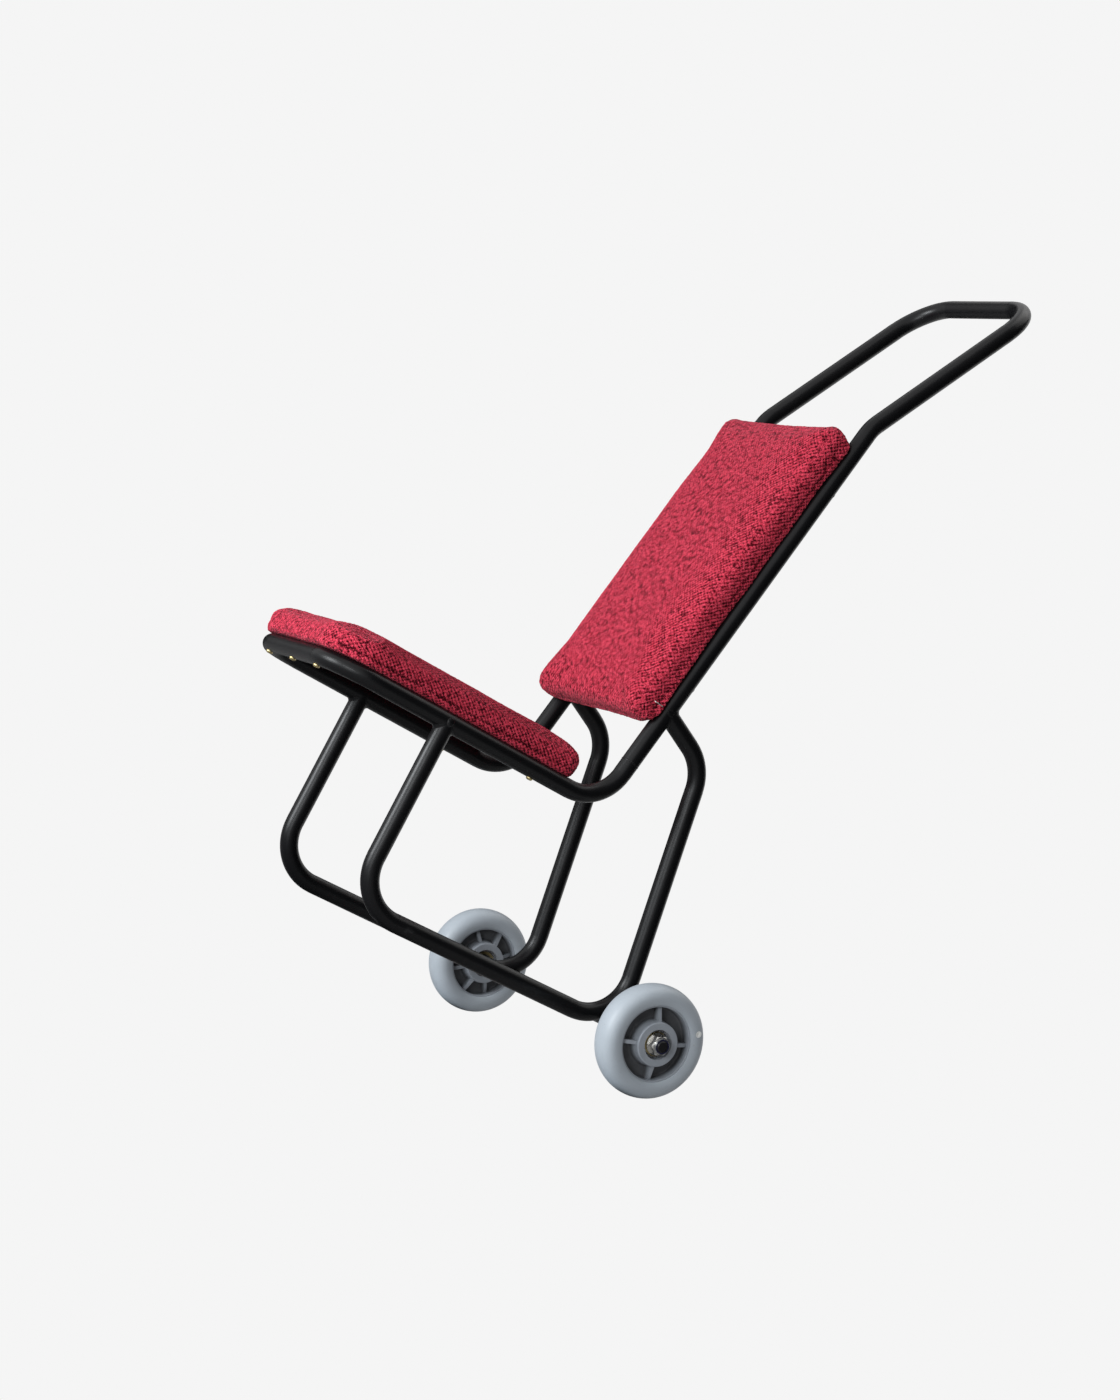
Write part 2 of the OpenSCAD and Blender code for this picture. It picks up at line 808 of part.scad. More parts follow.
module seat_cover() {
    color(red_fabric)
        standing()
            on_seat()
                difference() {
                    pad_cover(seat_pad_low, seat_pad_len, seat_front_r, seat_rear_r, seat_edge_h);
                    seat_screw_spots()
                        screw_hole();
                }
}

module back_board() {
    color(black_board)
        standing()
            on_back()
                difference() {
                    pad_board(back_pad_gap, back_pad_len, back_r, back_r, back_edge_h);
                    back_screw_spots()
                        screw_hole();
                }
}

module back_foam() {
    color(pale_foam)
        standing()
            on_back()
                pad_foam(back_pad_gap, back_pad_len, back_r, back_r, back_edge_h);
}

module back_cover() {
    color(red_fabric)
        standing()
            on_back()
                difference() {
                    pad_cover(back_pad_gap, back_pad_len, back_r, back_r, back_edge_h);
                    back_screw_spots()
                        screw_hole();
                }
}

// Screws run from the rails into the boards
screw_bite_share = 0.75;
screw_tip = pad_seat + board_low + board_t * screw_bite_share;

module seat_screws() {
    color(yellow_zinc)
        standing()
            on_seat()
                seat_screw_spots() {
                    translate([0, 0, -tube_r - weld_gap])
                        cylinder(h = screw_tip + tube_r + weld_gap, r = screw_d / 2);
                    translate([0, 0, -tube_r - weld_gap - pan_h])
                        cylinder(h = pan_h, r1 = screw_head_d / 3, r2 = screw_head_d / 2);
                }
}

module back_screws() {
    color(black_coat)
        standing()
            on_back()
                back_screw_spots() {
                    countersink(0, 0);
                    translate([0, 0, -tube_r])
                        cylinder(h = screw_tip + tube_r, r = screw_d / 2);
                }
}

// Middle of the trolley's length, standing: from the seat pad's front to the wheels' rear
seat_front_y = min([for (p = pad_section(seat_edge_h))
    let(
        q = [seat_pad_low + p[0], pad_seat + p[1]],
        level = seat_corner + q[0] * -seat_dir + q[1] * polar(90 - seat_rise, 1)
    )
    level[0] * cos(rest_tilt) - level[1] * sin(rest_tilt)]);
stand_mid_y = (seat_front_y + wheel_r) / 2;

module left_axle_spacer() { axle_spacer(1); }
module right_axle_spacer() { axle_spacer(-1); }
module left_tyre() { tyre(1); }
module right_tyre() { tyre(-1); }
module left_hub() { hub(1); }
module right_hub() { hub(-1); }
module left_tyre_plug() { tyre_plug(1); }
module right_tyre_plug() { tyre_plug(-1); }
module left_bearing_outer_rings() { bearing_outer_rings(1); }
module right_bearing_outer_rings() { bearing_outer_rings(-1); }
module left_bearing_inner_rings() { bearing_inner_rings(1); }
module right_bearing_inner_rings() { bearing_inner_rings(-1); }
module left_bearing_balls() { bearing_balls(1); }
module right_bearing_balls() { bearing_balls(-1); }
module left_bearing_shields() { bearing_shields(1); }
module right_bearing_shields() { bearing_shields(-1); }
module left_hub_sleeve() { hub_sleeve(1); }
module right_hub_sleeve() { hub_sleeve(-1); }
module left_axle_washer() { axle_washer(1); }
module right_axle_washer() { axle_washer(-1); }
module left_axle_nut() { axle_nut(1); }
module right_axle_nut() { axle_nut(-1); }
module left_lock_ring() { lock_ring(1); }
module right_lock_ring() { lock_ring(-1); }

handle_bow();
seat_bow();
left_leg_loop();
right_leg_loop();
axle();
left_axle_spacer();
right_axle_spacer();
seat_board();
seat_foam();
seat_cover();
seat_screws();
back_board();
back_foam();
back_cover();
back_screws();
left_tyre();
left_hub();
left_tyre_plug();
left_bearing_outer_rings();
left_bearing_inner_rings();
left_bearing_balls();
left_bearing_shields();
left_hub_sleeve();
left_axle_washer();
left_axle_nut();
right_tyre();
right_hub();
right_tyre_plug();
right_bearing_outer_rings();
right_bearing_inner_rings();
right_bearing_balls();
right_bearing_shields();
right_hub_sleeve();
right_axle_washer();
right_axle_nut();
left_lock_ring();
right_lock_ring();
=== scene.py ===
"""Hand trolley for a stack of chairs: its finishes, padded seat and back, welds and small fittings."""
import json
import math

import bmesh
import bpy
import numpy as np
from mathutils import Euler, Matrix, Vector, noise


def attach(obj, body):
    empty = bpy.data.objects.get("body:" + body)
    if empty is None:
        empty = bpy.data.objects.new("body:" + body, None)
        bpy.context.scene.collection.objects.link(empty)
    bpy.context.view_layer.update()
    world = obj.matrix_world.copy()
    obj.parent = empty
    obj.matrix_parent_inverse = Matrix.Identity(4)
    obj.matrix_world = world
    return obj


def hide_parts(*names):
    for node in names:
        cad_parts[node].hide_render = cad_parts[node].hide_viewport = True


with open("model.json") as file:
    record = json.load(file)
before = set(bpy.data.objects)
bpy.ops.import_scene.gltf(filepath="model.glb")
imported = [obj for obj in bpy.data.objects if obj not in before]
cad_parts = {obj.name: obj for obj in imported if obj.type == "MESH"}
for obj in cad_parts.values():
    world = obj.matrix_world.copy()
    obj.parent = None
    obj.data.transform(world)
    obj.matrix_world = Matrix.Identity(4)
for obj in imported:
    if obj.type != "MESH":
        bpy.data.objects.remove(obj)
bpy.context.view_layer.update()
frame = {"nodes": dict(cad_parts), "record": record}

MM = 0.001
TINY = 1e-9
# Side view of the standing trolley, as (y, z) in metres
SEAT_CORNER = (0.09063, 0.30014)
ARM_END = (0.09692, 0.45583)
UPRIGHT_END = (-0.16285, 0.26299)
BOW_SPLIT = (0.09348, 0.37076)
REAR_BEND = (0.21703, 0.12488)
AXLE = (0.28114, 0.0762)
# Slopes in that view, in degrees
STAND_TILT = 9.48834
SEAT_SLOPE = STAND_TILT - 1.15
BACK_SLOPE = STAND_TILT + 78.2
ARM_SLOPE = STAND_TILT + 154.5
UPRIGHT_SLOPE = STAND_TILT + 88
# Tubes, axle and wheels
TUBE_R = 12.7 * MM
BEND_R = 63.5 * MM
AXLE_R = 8 * MM
SIDE_X = 139.4 * MM
WHEEL_X = 260.5 * MM


class Val:
    """A value in a node tree; arithmetic on it adds Math nodes."""

    def __init__(self, nodes, socket):
        self.nodes, self.socket = nodes, socket

    def __add__(self, other):
        return self.nodes.math("ADD", self, other)

    def __sub__(self, other):
        return self.nodes.math("SUBTRACT", self, other)

    def __rsub__(self, other):
        return self.nodes.math("SUBTRACT", other, self)

    def __mul__(self, other):
        return self.nodes.math("MULTIPLY", self, other)

    def __abs__(self):
        return self.nodes.math("ABSOLUTE", self)

    __radd__, __rmul__ = __add__, __mul__


class Nodes:
    """A node tree, with one method that adds any node."""

    def __init__(self, tree):
        self.tree = tree

    def put(self, socket, value):
        if isinstance(value, Val):
            self.tree.links.new(value.socket, socket)
        elif socket.type == "RGBA":
            socket.default_value = (*value, 1)
        else:
            socket.default_value = value

    def node(self, kind, settings, sockets, out=0):
        made = self.tree.nodes.new("ShaderNode" + kind)
        for key, value in settings.items():
            setattr(made, key, value)
        for key, value in sockets.items():
            self.put(made.inputs[key], value)
        return Val(self, made.outputs[out])

    def math(self, operation, *terms):
        return self.node("Math", {"operation": operation}, dict(enumerate(terms)))

    def show(self, output, shader):
        self.put(self.tree.nodes[output].inputs["Surface"], shader)


class Look(Nodes):
    """A procedural finish: one Principled shader and the nodes that vary it."""

    def __init__(self, name, **constants):
        self.material = bpy.data.materials.new(name)
        self.material.use_nodes = True
        super().__init__(self.material.node_tree)
        self.shader = self.tree.nodes["Principled BSDF"]
        for key, value in constants.items():
            self.feed(key.replace("_", " ").title().replace("Ior", "IOR"), value)

    def feed(self, socket, value):
        self.put(self.shader.inputs[socket], value)

    def mix(self, share, a, b):
        return self.node("Mix", {"data_type": "RGBA"}, {0: share, 6: a, 7: b}, 2)

    def here(self):
        return self.node("TexCoord", {}, {}, "Object")

    def along(self, axis):
        return self.node("SeparateXYZ", {}, {"Vector": self.here()}, axis)

    def spot(self, stretch=(1, 1, 1)):
        return self.node("Mapping", {}, {"Vector": self.here(), "Scale": stretch})

    def cloud(self, size, detail=2, stretch=(1, 1, 1)):
        sockets = {"Vector": self.spot(stretch), "Scale": 1 / size, "Detail": detail}
        return self.node("TexNoise", {}, sockets, "Fac")

    def step(self, value, low, high):
        sockets = {"Value": value, "From Min": low, "From Max": high}
        return self.node("MapRange", {"interpolation_type": "SMOOTHSTEP"}, sockets)

    def relief(self, height, depth):
        self.feed("Normal", self.node("Bump", {}, {"Height": height, "Distance": depth}))


# Colours of the finishes, in pairs that each drifts between
COAT_BLACK = ((0.0035, 0.0035, 0.0040), (0.0065, 0.0065, 0.0074))
AXLE_BLACK = ((0.007, 0.007, 0.008), (0.016, 0.0155, 0.0155))
YARN_RED = ((0.57, 0.032, 0.060), (0.93, 0.086, 0.146))
BOARD_BLACK = ((0.012, 0.011, 0.010), (0.038, 0.034, 0.031))
TYRE_GREY = ((0.39, 0.43, 0.47), (0.45, 0.49, 0.53))
HUB_GREY = ((0.28, 0.305, 0.34), (0.36, 0.385, 0.42))
# Dark hub greys for the painted shade deep in the hub's recess
HUB_RECESS_SHADE = ((0.060, 0.062, 0.066), (0.110, 0.112, 0.118))
ZINC_BRIGHT = ((0.55, 0.54, 0.52), (0.80, 0.79, 0.76))
ZINC_YELLOW = ((0.46, 0.36, 0.15), (0.74, 0.62, 0.34))
BEARING_GREY = ((0.42, 0.42, 0.43), (0.60, 0.60, 0.61))
PLUG_WHITE = ((0.78, 0.78, 0.75), (0.92, 0.92, 0.90))
NYLON_BLUE = ((0.006, 0.006, 0.03), (0.014, 0.015, 0.06))
FOAM_CREAM = ((0.62, 0.53, 0.30), (0.80, 0.72, 0.48))

# Powder coat and paint, scuffed near the floor
COAT_SPECULAR = 0.27
COAT_PATCH = 60 * MM
COAT_ROUGHNESS = 0.29
COAT_UNEVEN = 0.08
COAT_GRAIN = 1.3 * MM
COAT_GRAIN_DEPTH = 0.05 * MM
SCUFF = 9 * MM
SCUFF_STRETCH = (1, 0.25, 0.25)
SCUFF_RANGE = (0.62, 0.7)
SCUFF_HEIGHTS = (2 * MM, 22 * MM)
SCUFF_GREY = (0.07, 0.07, 0.072)
SCUFF_ROUGHNESS = 0.25


def powder_coat(name, colours):
    look = Look(name, specular_ior_level=COAT_SPECULAR)
    drift = look.cloud(COAT_PATCH, detail=3)
    scuff = look.step(look.cloud(SCUFF, detail=4, stretch=SCUFF_STRETCH), *SCUFF_RANGE)
    low = 1 - look.step(look.along("Z"), *SCUFF_HEIGHTS)
    worn = scuff * low
    look.feed("Base Color", look.mix(worn, look.mix(drift, *colours), SCUFF_GREY))
    look.feed("Roughness", COAT_ROUGHNESS + drift * COAT_UNEVEN + worn * SCUFF_ROUGHNESS)
    look.relief(look.cloud(COAT_GRAIN, detail=1), COAT_GRAIN_DEPTH)
    return look.material


# Red cloth: bright loops of yarn, with painted shade in the pits between them
SHEEN = 0.14
SHEEN_ROUGHNESS = 0.4
SHEEN_TINT = (1, 0.62, 0.70)
STRAND = 1.7 * MM
STRAND_MESS = 0.9
STRAND_RANGE = (0.15, 0.75)
FUZZ = 0.6 * MM
FUZZ_MEAN = 0.5
NUB_LIFT, STRAND_LIFT, FUZZ_LIFT = 0.9, 0.22, 0.25
LIFT_RANGE = (0.26, 0.65)
# Dark red of the painted shade in the cloth's pits
PIT_PAINTED_SHADE = (0.045, 0.0022, 0.0048)
CLOTH_ROUGHNESS = 0.82
CLOTH_UNEVEN = 0.16
NUB_RELIEF, STRAND_RELIEF, FUZZ_RELIEF = 0.6, 0.7, 0.5
CLOTH_DEPTH = 0.9 * MM


def red_weave():
    look = Look("red_weave", specular_ior_level=0.0, sheen_weight=SHEEN,
                sheen_roughness=SHEEN_ROUGHNESS, sheen_tint=SHEEN_TINT)
    nub = look.node("Attribute", {"attribute_name": "nub"}, {}, "Fac")
    strands = {"Vector": look.spot(), "Scale": 1 / STRAND, "Randomness": STRAND_MESS}
    strand = look.node("TexVoronoi", {}, strands, "Distance")
    dye = look.node("TexVoronoi", {}, strands, "Color")
    tint = look.node("SeparateColor", {}, {"Color": dye}, "Red")
    fuzz = look.cloud(FUZZ, detail=3)
    crown = 1 - look.step(strand, *STRAND_RANGE)
    high = nub * NUB_LIFT + crown * STRAND_LIFT + (fuzz - FUZZ_MEAN) * FUZZ_LIFT
    lift = look.step(high, *LIFT_RANGE)
    # Painted shade: low nubs and the strands' edges take the dark pit colour, the crowns the yarn's
    look.feed("Base Color", look.mix(lift, PIT_PAINTED_SHADE, look.mix(tint, *YARN_RED)))
    look.feed("Roughness", CLOTH_ROUGHNESS + fuzz * CLOTH_UNEVEN)
    look.relief(crown * STRAND_RELIEF + fuzz * FUZZ_RELIEF + nub * NUB_RELIEF, CLOTH_DEPTH)
    return look.material


# Stained boards under the pads
GRAIN = 5 * MM
GRAIN_STRETCH = (6, 0.35, 6)
GRAIN_DEPTH = 0.25 * MM
BOARD_ROUGHNESS = 0.6
BOARD_UNEVEN = 0.25


def stained_board():
    look = Look("stained_board")
    grain = look.cloud(GRAIN, detail=5, stretch=GRAIN_STRETCH)
    look.feed("Base Color", look.mix(grain, *BOARD_BLACK))
    look.feed("Roughness", BOARD_ROUGHNESS + grain * BOARD_UNEVEN)
    look.relief(grain, GRAIN_DEPTH)
    return look.material


# Rubber of the tyres, with specks of dirt
TYRE_PATCH = 26 * MM
TYRE_ROUGHNESS = 0.38
TYRE_UNEVEN = 0.16
TYRE_GRAIN = 0.9 * MM
SPECK = 2.2 * MM
SPECK_RANGE = (0.66, 0.74)
SPECK_SHARE = 0.35
SPECK_BROWN = (0.24, 0.23, 0.21)
MOULD_DEPTH = 0.03 * MM


def grey_rubber():
    look = Look("grey_rubber")
    drift = look.cloud(TYRE_PATCH, detail=4)
    specks = look.step(look.cloud(SPECK, detail=3), *SPECK_RANGE)
    look.feed("Base Color", look.mix(specks * SPECK_SHARE, look.mix(drift, *TYRE_GREY), SPECK_BROWN))
    look.feed("Roughness", TYRE_ROUGHNESS + drift * TYRE_UNEVEN)
    look.relief(look.cloud(TYRE_GRAIN), MOULD_DEPTH)
    return look.material


# Moulded hubs, with painted shade down in their recess
HUB_PATCH = 14 * MM
HUB_ROUGHNESS = 0.36
HUB_UNEVEN = 0.16
HUB_GRAIN = 0.8 * MM
RECESS_SHADE_RANGE = (5 * MM, 17 * MM)


def hub_plastic():
    look = Look("hub_plastic")
    drift = look.cloud(HUB_PATCH, detail=3)
    # Painted shade: the hub's colour darkens with depth into the recess, towards the web
    recess_shade = 1 - look.step(abs(abs(look.along("X")) - WHEEL_X), *RECESS_SHADE_RANGE)
    look.feed("Base Color", look.mix(recess_shade, look.mix(drift, *HUB_GREY), look.mix(drift, *HUB_RECESS_SHADE)))
    look.feed("Roughness", HUB_ROUGHNESS + drift * HUB_UNEVEN)
    look.relief(look.cloud(HUB_GRAIN), MOULD_DEPTH)
    return look.material


# Zinc plate and ground steel
PLATE_PATCH = 4 * MM
PLATE_UNEVEN = 0.2
PLATE_GRAIN = 0.6 * MM
PLATE_DEPTH = 0.02 * MM


def plated(name, colours, smoothest):
    look = Look(name, metallic=1.0)
    drift = look.cloud(PLATE_PATCH, detail=4)
    look.feed("Base Color", look.mix(drift, *colours))
    look.feed("Roughness", smoothest + drift * PLATE_UNEVEN)
    look.relief(look.cloud(PLATE_GRAIN), PLATE_DEPTH)
    return look.material


# Small plastic pieces and the foam
PLUG_PATCH = 3 * MM
PLUG_DEPTH = 0.1 * MM
NYLON_PATCH = 2 * MM
NYLON_ROUGHNESS = 0.32
NYLON_UNEVEN = 0.2
FOAM_CELL = 1.2 * MM
FOAM_DEPTH = 0.5 * MM


def white_plastic():
    look = Look("white_plastic", roughness=0.45)
    drift = look.cloud(PLUG_PATCH, detail=3)
    look.feed("Base Color", look.mix(drift, *PLUG_WHITE))
    look.relief(drift, PLUG_DEPTH)
    return look.material


def nylon():
    look = Look("blue_nylon")
    drift = look.cloud(NYLON_PATCH, detail=3)
    look.feed("Base Color", look.mix(drift, *NYLON_BLUE))
    look.feed("Roughness", NYLON_ROUGHNESS + drift * NYLON_UNEVEN)
    return look.material


def pale_foam():
    look = Look("pale_foam", roughness=0.9)
    cells = look.cloud(FOAM_CELL)
    look.feed("Base Color", look.mix(cells, *FOAM_CREAM))
    look.relief(cells, FOAM_DEPTH)
    return look.material


coat = powder_coat("black_powder_coat", COAT_BLACK)
axle_paint = powder_coat("black_axle_paint", AXLE_BLACK)
bright = plated("bright_zinc", ZINC_BRIGHT, smoothest=0.18)
golden = plated("yellow_zinc", ZINC_YELLOW, smoothest=0.24)
FINISH = {
    "black_powder_coat": coat, "black_axle": axle_paint, "bright_zinc": bright, "yellow_zinc": golden,
    "bearing_steel": plated("bearing_steel", BEARING_GREY, smoothest=0.16), "black_board": stained_board(),
    "grey_tyre": grey_rubber(), "grey_hub": hub_plastic(), "white_plug": white_plastic(),
    "blue_nylon": nylon(), "foam": pale_foam(),
}


def paint(obj, material):
    obj.data.materials.clear()
    obj.data.materials.append(material)


for row in frame["record"]["subparts"]:
    if row["material_slot"] in FINISH:
        paint(frame["nodes"][row["node"]], FINISH[row["material_slot"]])


def new_piece(name, vertices, faces):
    mesh = bpy.data.meshes.new(name)
    mesh.from_pydata([tuple(v) for v in vertices], [], [tuple(f) for f in faces])
    mesh.update()
    piece = bpy.data.objects.new(name, mesh)
    bpy.context.scene.collection.objects.link(piece)
    return piece


def fitted(piece, material):
    """Gives a piece its finish and fastens it to the frame."""
    paint(piece, material)
    piece.data.shade_smooth()
    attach(piece, "frame")
    return piece


def settle(piece):
    """Takes the piece's modifiers into its mesh."""
    made = bpy.data.meshes.new_from_object(piece.evaluated_get(bpy.context.evaluated_depsgraph_get()))
    piece.modifiers.clear()
    piece.data = made


def points_of(mesh):
    flat = np.zeros(len(mesh.vertices) * 3)
    mesh.vertices.foreach_get("co", flat)
    return flat.reshape(-1, 3)


def set_points(mesh, points):
    mesh.vertices.foreach_set("co", np.ascontiguousarray(points, float).ravel())
    mesh.update()


# Padded seat and back
PAD_W = 304.2 * MM
PAD_SEAT = 13 * MM
PAD_CROWN = 10 * MM
PAD_WAIST = 2 * MM
BOARD_TOP = 14.2 * MM
CORNER_SHARE = 0.35
SIDE_SHARES = [(0.24, 0), (0.11, 0.05), (0.05, 0.14), (0.05, 0.3), (0, 0.55), (0.05, 0.82), (0.2, 0.98)]
CROWN_SHARES = [(0.15, 0.3), (0.32, 0.66), (0.52, 0.9), (0.72, 1)]
SEAT_PAD = {"low": -447.9 * MM, "length": 400.9 * MM, "r_low": 66 * MM, "r_high": 26 * MM,
            "edge": 36 * MM, "crease": 1.0 * MM, "sag": 0, "slope": SEAT_SLOPE, "voxel": 6.6 * MM}
BACK_PAD = {"low": 121 * MM, "length": 497 * MM, "r_low": 18 * MM, "r_high": 18 * MM,
            "edge": 40 * MM, "crease": 0.3 * MM, "sag": 14 * MM, "slope": BACK_SLOPE, "voxel": 7.6 * MM}
# Room left for the cover to swell, and how it is blown up
CROWN_ROOM = 2.2 * MM
SIDE_ROOM = 1.5 * MM
HELD_BELOW = 2 * MM
SWELL_PRESSURE = 4.0
SWELL_QUALITY = 6
SWELL_FRAMES = 20
SWELL_CAP = 5 * MM
FINER_LEVELS = 2
# The hem's run under the pad, as (reach, level) in millimetres
HEM_STEPS = [(1.5, 0), (7, 0), (14, 0), (21, 0), (27.4, 0), (28, 0.5), (28, 1.6), (28.2, 14.2)]
HEM_CUT = 0.9 * MM
CORE = 70 * MM
# Nubs of the cloth, in rows of loops, and low lumps in the padding
NUB = 4.4 * MM
NUB_HEIGHT = 1.6 * MM
NUB_SHARP = 1.25
NUB_SHARE, ROW_SHARE = 0.4, 0.6
ROW_PITCH = 5.6 * MM
LOOP_PITCH = 6.6 * MM
ROW_LOOSE = 0.14
LOOSE_PER_M = 110
LOOSE_SHIFTS = [Vector((9.3, -1.5, -7.9)), Vector((0, 0, 0)), Vector((6.3, 0.2, -2.7))]
PILE_LEVEL = 0.45
HEM_PILE = 0.4
INNER_ROOM = 2 * MM
INNER_FLAT = 0.1
LUMP_HEIGHT = 0.7 * MM
LUMPS_PER_M = 16
# Crease along the sides above the board, with painted shade along it
CREASE_SHARE = 0.27
CREASE_W = 1.8 * MM
CREASE_MEAN, CREASE_SWING, CREASE_LEAST = 0.7, 0.9, 0.15
CREASE_PER_M = 22
CREASE_PAINTED_SHADE = 0.5
SIDE_FACING = 0.6
# Gathers round the corners
GATHER = 1.2 * MM
GATHER_COUNT = 13
GATHER_HIGH = 13 * MM
GATHER_STRAY = 2
GATHER_PER_M = 9
# Bulge of the lower edges
SAG_FROM = PAD_W / 2 - 16 * MM
SAG_RUN = 12 * MM
SAG_HIGH = 8 * MM
SAG_DROP = 0.55


def pad_outline(pad, inset, corner_points=8, side_points=9):
    half = PAD_W / 2 - inset
    y0, y1 = pad["low"] + inset, pad["low"] + pad["length"] - inset
    r0 = max(pad["r_low"] - inset, inset * CORNER_SHARE)
    r1 = max(pad["r_high"] - inset, inset * CORNER_SHARE)
    corners = [(half - r0, y0 + r0, r0, -90), (half - r1, y1 - r1, r1, 0),
               (r1 - half, y1 - r1, r1, 90), (r0 - half, y0 + r0, r0, 180)]
    points = []
    for (x, y, r, start), (nx, ny, nr, _) in zip(corners, corners[1:] + corners[:1]):
        for k in range(corner_points + 1):
            angle = math.radians(start + 90 * k / corner_points)
            points.append((x + r * math.cos(angle), y + r * math.sin(angle)))
        out = np.array([math.cos(math.radians(start + 90)), math.sin(math.radians(start + 90))])
        here, there = np.array([x, y]) + r * out, np.array([nx, ny]) + nr * out
        for s in np.linspace(-1, 1, side_points + 2)[1:-1]:
            points.append(tuple(here + (there - here) * (1 + s) / 2 - out * PAD_WAIST * (1 - s * s)))
    return points


def pad_place(pad):
    return (Matrix.Translation((0, *SEAT_CORNER)) @ Matrix.Rotation(math.radians(pad["slope"]), 4, "X")
            @ Matrix.Translation((0, 0, PAD_SEAT)))


def pad_form(name, pad):
    """Closed form of a pad in its own frame, its crown drawn down so that it can swell."""
    edge = pad["edge"]
    section = [(edge * a, edge * b) for a, b in SIDE_SHARES]
    section += [(PAD_W / 2 * a, edge + PAD_CROWN * b) for a, b in CROWN_SHARES]
    rings = []
    for inset, high in section:
        share = min(high / edge, 1)
        outline = pad_outline(pad, inset - SIDE_ROOM * share)
        rings.append([(x, y, high - CROWN_ROOM * share) for x, y in outline])
    n = len(rings[0])
    faces = [list(range(n - 1, -1, -1)), [(len(rings) - 1) * n + j for j in range(n)]]
    for i in range(len(rings) - 1):
        for j in range(n):
            k = (j + 1) % n
            faces.append((i * n + j, i * n + k, (i + 1) * n + k, (i + 1) * n + j))
    return new_piece(name, [p for ring in rings for p in ring], faces)


def swell(piece):
    """Blows the cover up against its stapled edge, each point by no more than the cap."""
    start = points_of(piece.data)
    stapled = piece.vertex_groups.new(name="stapled")
    stapled.add([int(i) for i in np.flatnonzero(start[:, 2] < HELD_BELOW)], 1, "REPLACE")
    cloth = piece.modifiers.new("swell", "CLOTH")
    cloth.settings.vertex_group_mass = "stapled"
    cloth.settings.use_pressure = True
    cloth.settings.uniform_pressure_force = SWELL_PRESSURE
    cloth.settings.effector_weights.gravity = 0
    cloth.settings.quality = SWELL_QUALITY
    cloth.point_cache.frame_start, cloth.point_cache.frame_end = 1, SWELL_FRAMES
    scene = bpy.context.scene
    for k in range(1, SWELL_FRAMES + 1):
        scene.frame_set(k)
    blown = piece.evaluated_get(bpy.context.evaluated_depsgraph_get())
    moved = points_of(blown.data) - start
    piece.modifiers.clear()
    piece.vertex_groups.clear()
    far = np.linalg.norm(moved, axis=1, keepdims=True)
    set_points(piece.data, start + moved * np.minimum(1, SWELL_CAP / np.maximum(far, TINY)))
    scene.frame_set(1)


def turn_under(piece, pad):
    """Opens the pad's underside and turns the cover under it as a hem, with room for the board."""
    core_x = PAD_W / 2 - CORE
    core_low, core_high = pad["low"] + CORE, pad["low"] + pad["length"] - CORE
    work = bmesh.new()
    work.from_mesh(piece.data)
    everything = work.verts[:] + work.edges[:] + work.faces[:]
    bmesh.ops.bisect_plane(work, geom=everything, plane_co=(0, 0, HEM_CUT), plane_no=(0, 0, 1),
                           clear_inner=True)
    rim = [e for e in work.edges if e.is_boundary]
    home = {v: v.co.copy() for e in rim for v in e.verts}
    for reach, level in HEM_STEPS:
        made = bmesh.ops.extrude_edge_only(work, edges=rim)["geom"]
        fresh = {}
        for v in [g for g in made if isinstance(g, bmesh.types.BMVert)]:
            fresh[v] = home[next(e.other_vert(v) for e in v.link_edges if e.other_vert(v) in home)]
        for v, start in fresh.items():
            aim_x = min(max(start.x, -core_x), core_x) - start.x
            aim_y = min(max(start.y, core_low), core_high) - start.y
            pull = reach * MM / math.hypot(aim_x, aim_y)
            v.co = (start.x + aim_x * pull, start.y + aim_y * pull, level * MM)
        home = fresh
        rim = [g for g in made if isinstance(g, bmesh.types.BMEdge) and all(v in home for v in g.verts)]
    work.to_mesh(piece.data)
    work.free()


def close_inside(piece):
    """Closes the cover above its board."""
    work = bmesh.new()
    work.from_mesh(piece.data)
    bmesh.ops.edgeloop_fill(work, edges=[e for e in work.edges if e.is_boundary])
    bmesh.ops.recalc_face_normals(work, faces=work.faces)
    work.to_mesh(piece.data)
    work.free()


def rows(here, normal):
    """Height of the weave's rows of loops at a point, seen along each axis by its share of the normal."""
    loose = Vector([noise.noise(here * LOOSE_PER_M + shift) for shift in LOOSE_SHIFTS]) * ROW_LOOSE
    u, v, w = (here.x / ROW_PITCH + loose.x, here.y / LOOP_PITCH + loose.y, here.z / ROW_PITCH + loose.z)
    cx, cy, cz = (math.cos(math.tau * f) for f in (u, v, w))
    nx, ny, nz = (f * f for f in normal)
    return 0.5 + 0.5 * (nx * cy * cz + ny * cx * cz + nz * cx * cy)


def crease(here, z, pad):
    """How far the cover is drawn in at a height on a pad's side, as a share."""
    tight = max(CREASE_MEAN + CREASE_SWING * noise.noise(here * CREASE_PER_M), CREASE_LEAST)
    return tight * math.exp(-((z - CREASE_SHARE * pad["edge"]) / CREASE_W) ** 2)


def gathers(here, x, y, z, pad):
    """Rise of the cloth's gathers round the pad's corners."""
    rise = 0
    for end, r in ((0, pad["r_low"]), (1, pad["r_high"])):
        far_x = abs(x) - (PAD_W / 2 - r)
        far_y = (pad["low"] + r - y) if end == 0 else (y - pad["low"] - pad["length"] + r)
        if far_x > 0 and far_y > 0:
            angle = math.atan2(far_y, far_x)
            wave = math.cos(angle * GATHER_COUNT + noise.noise(here * GATHER_PER_M) * GATHER_STRAY)
            fade = math.exp(-z / GATHER_HIGH) * min(1, math.hypot(far_x, far_y) / r)
            rise += GATHER * math.sin(2 * angle) ** 2 * wave * fade
    return rise


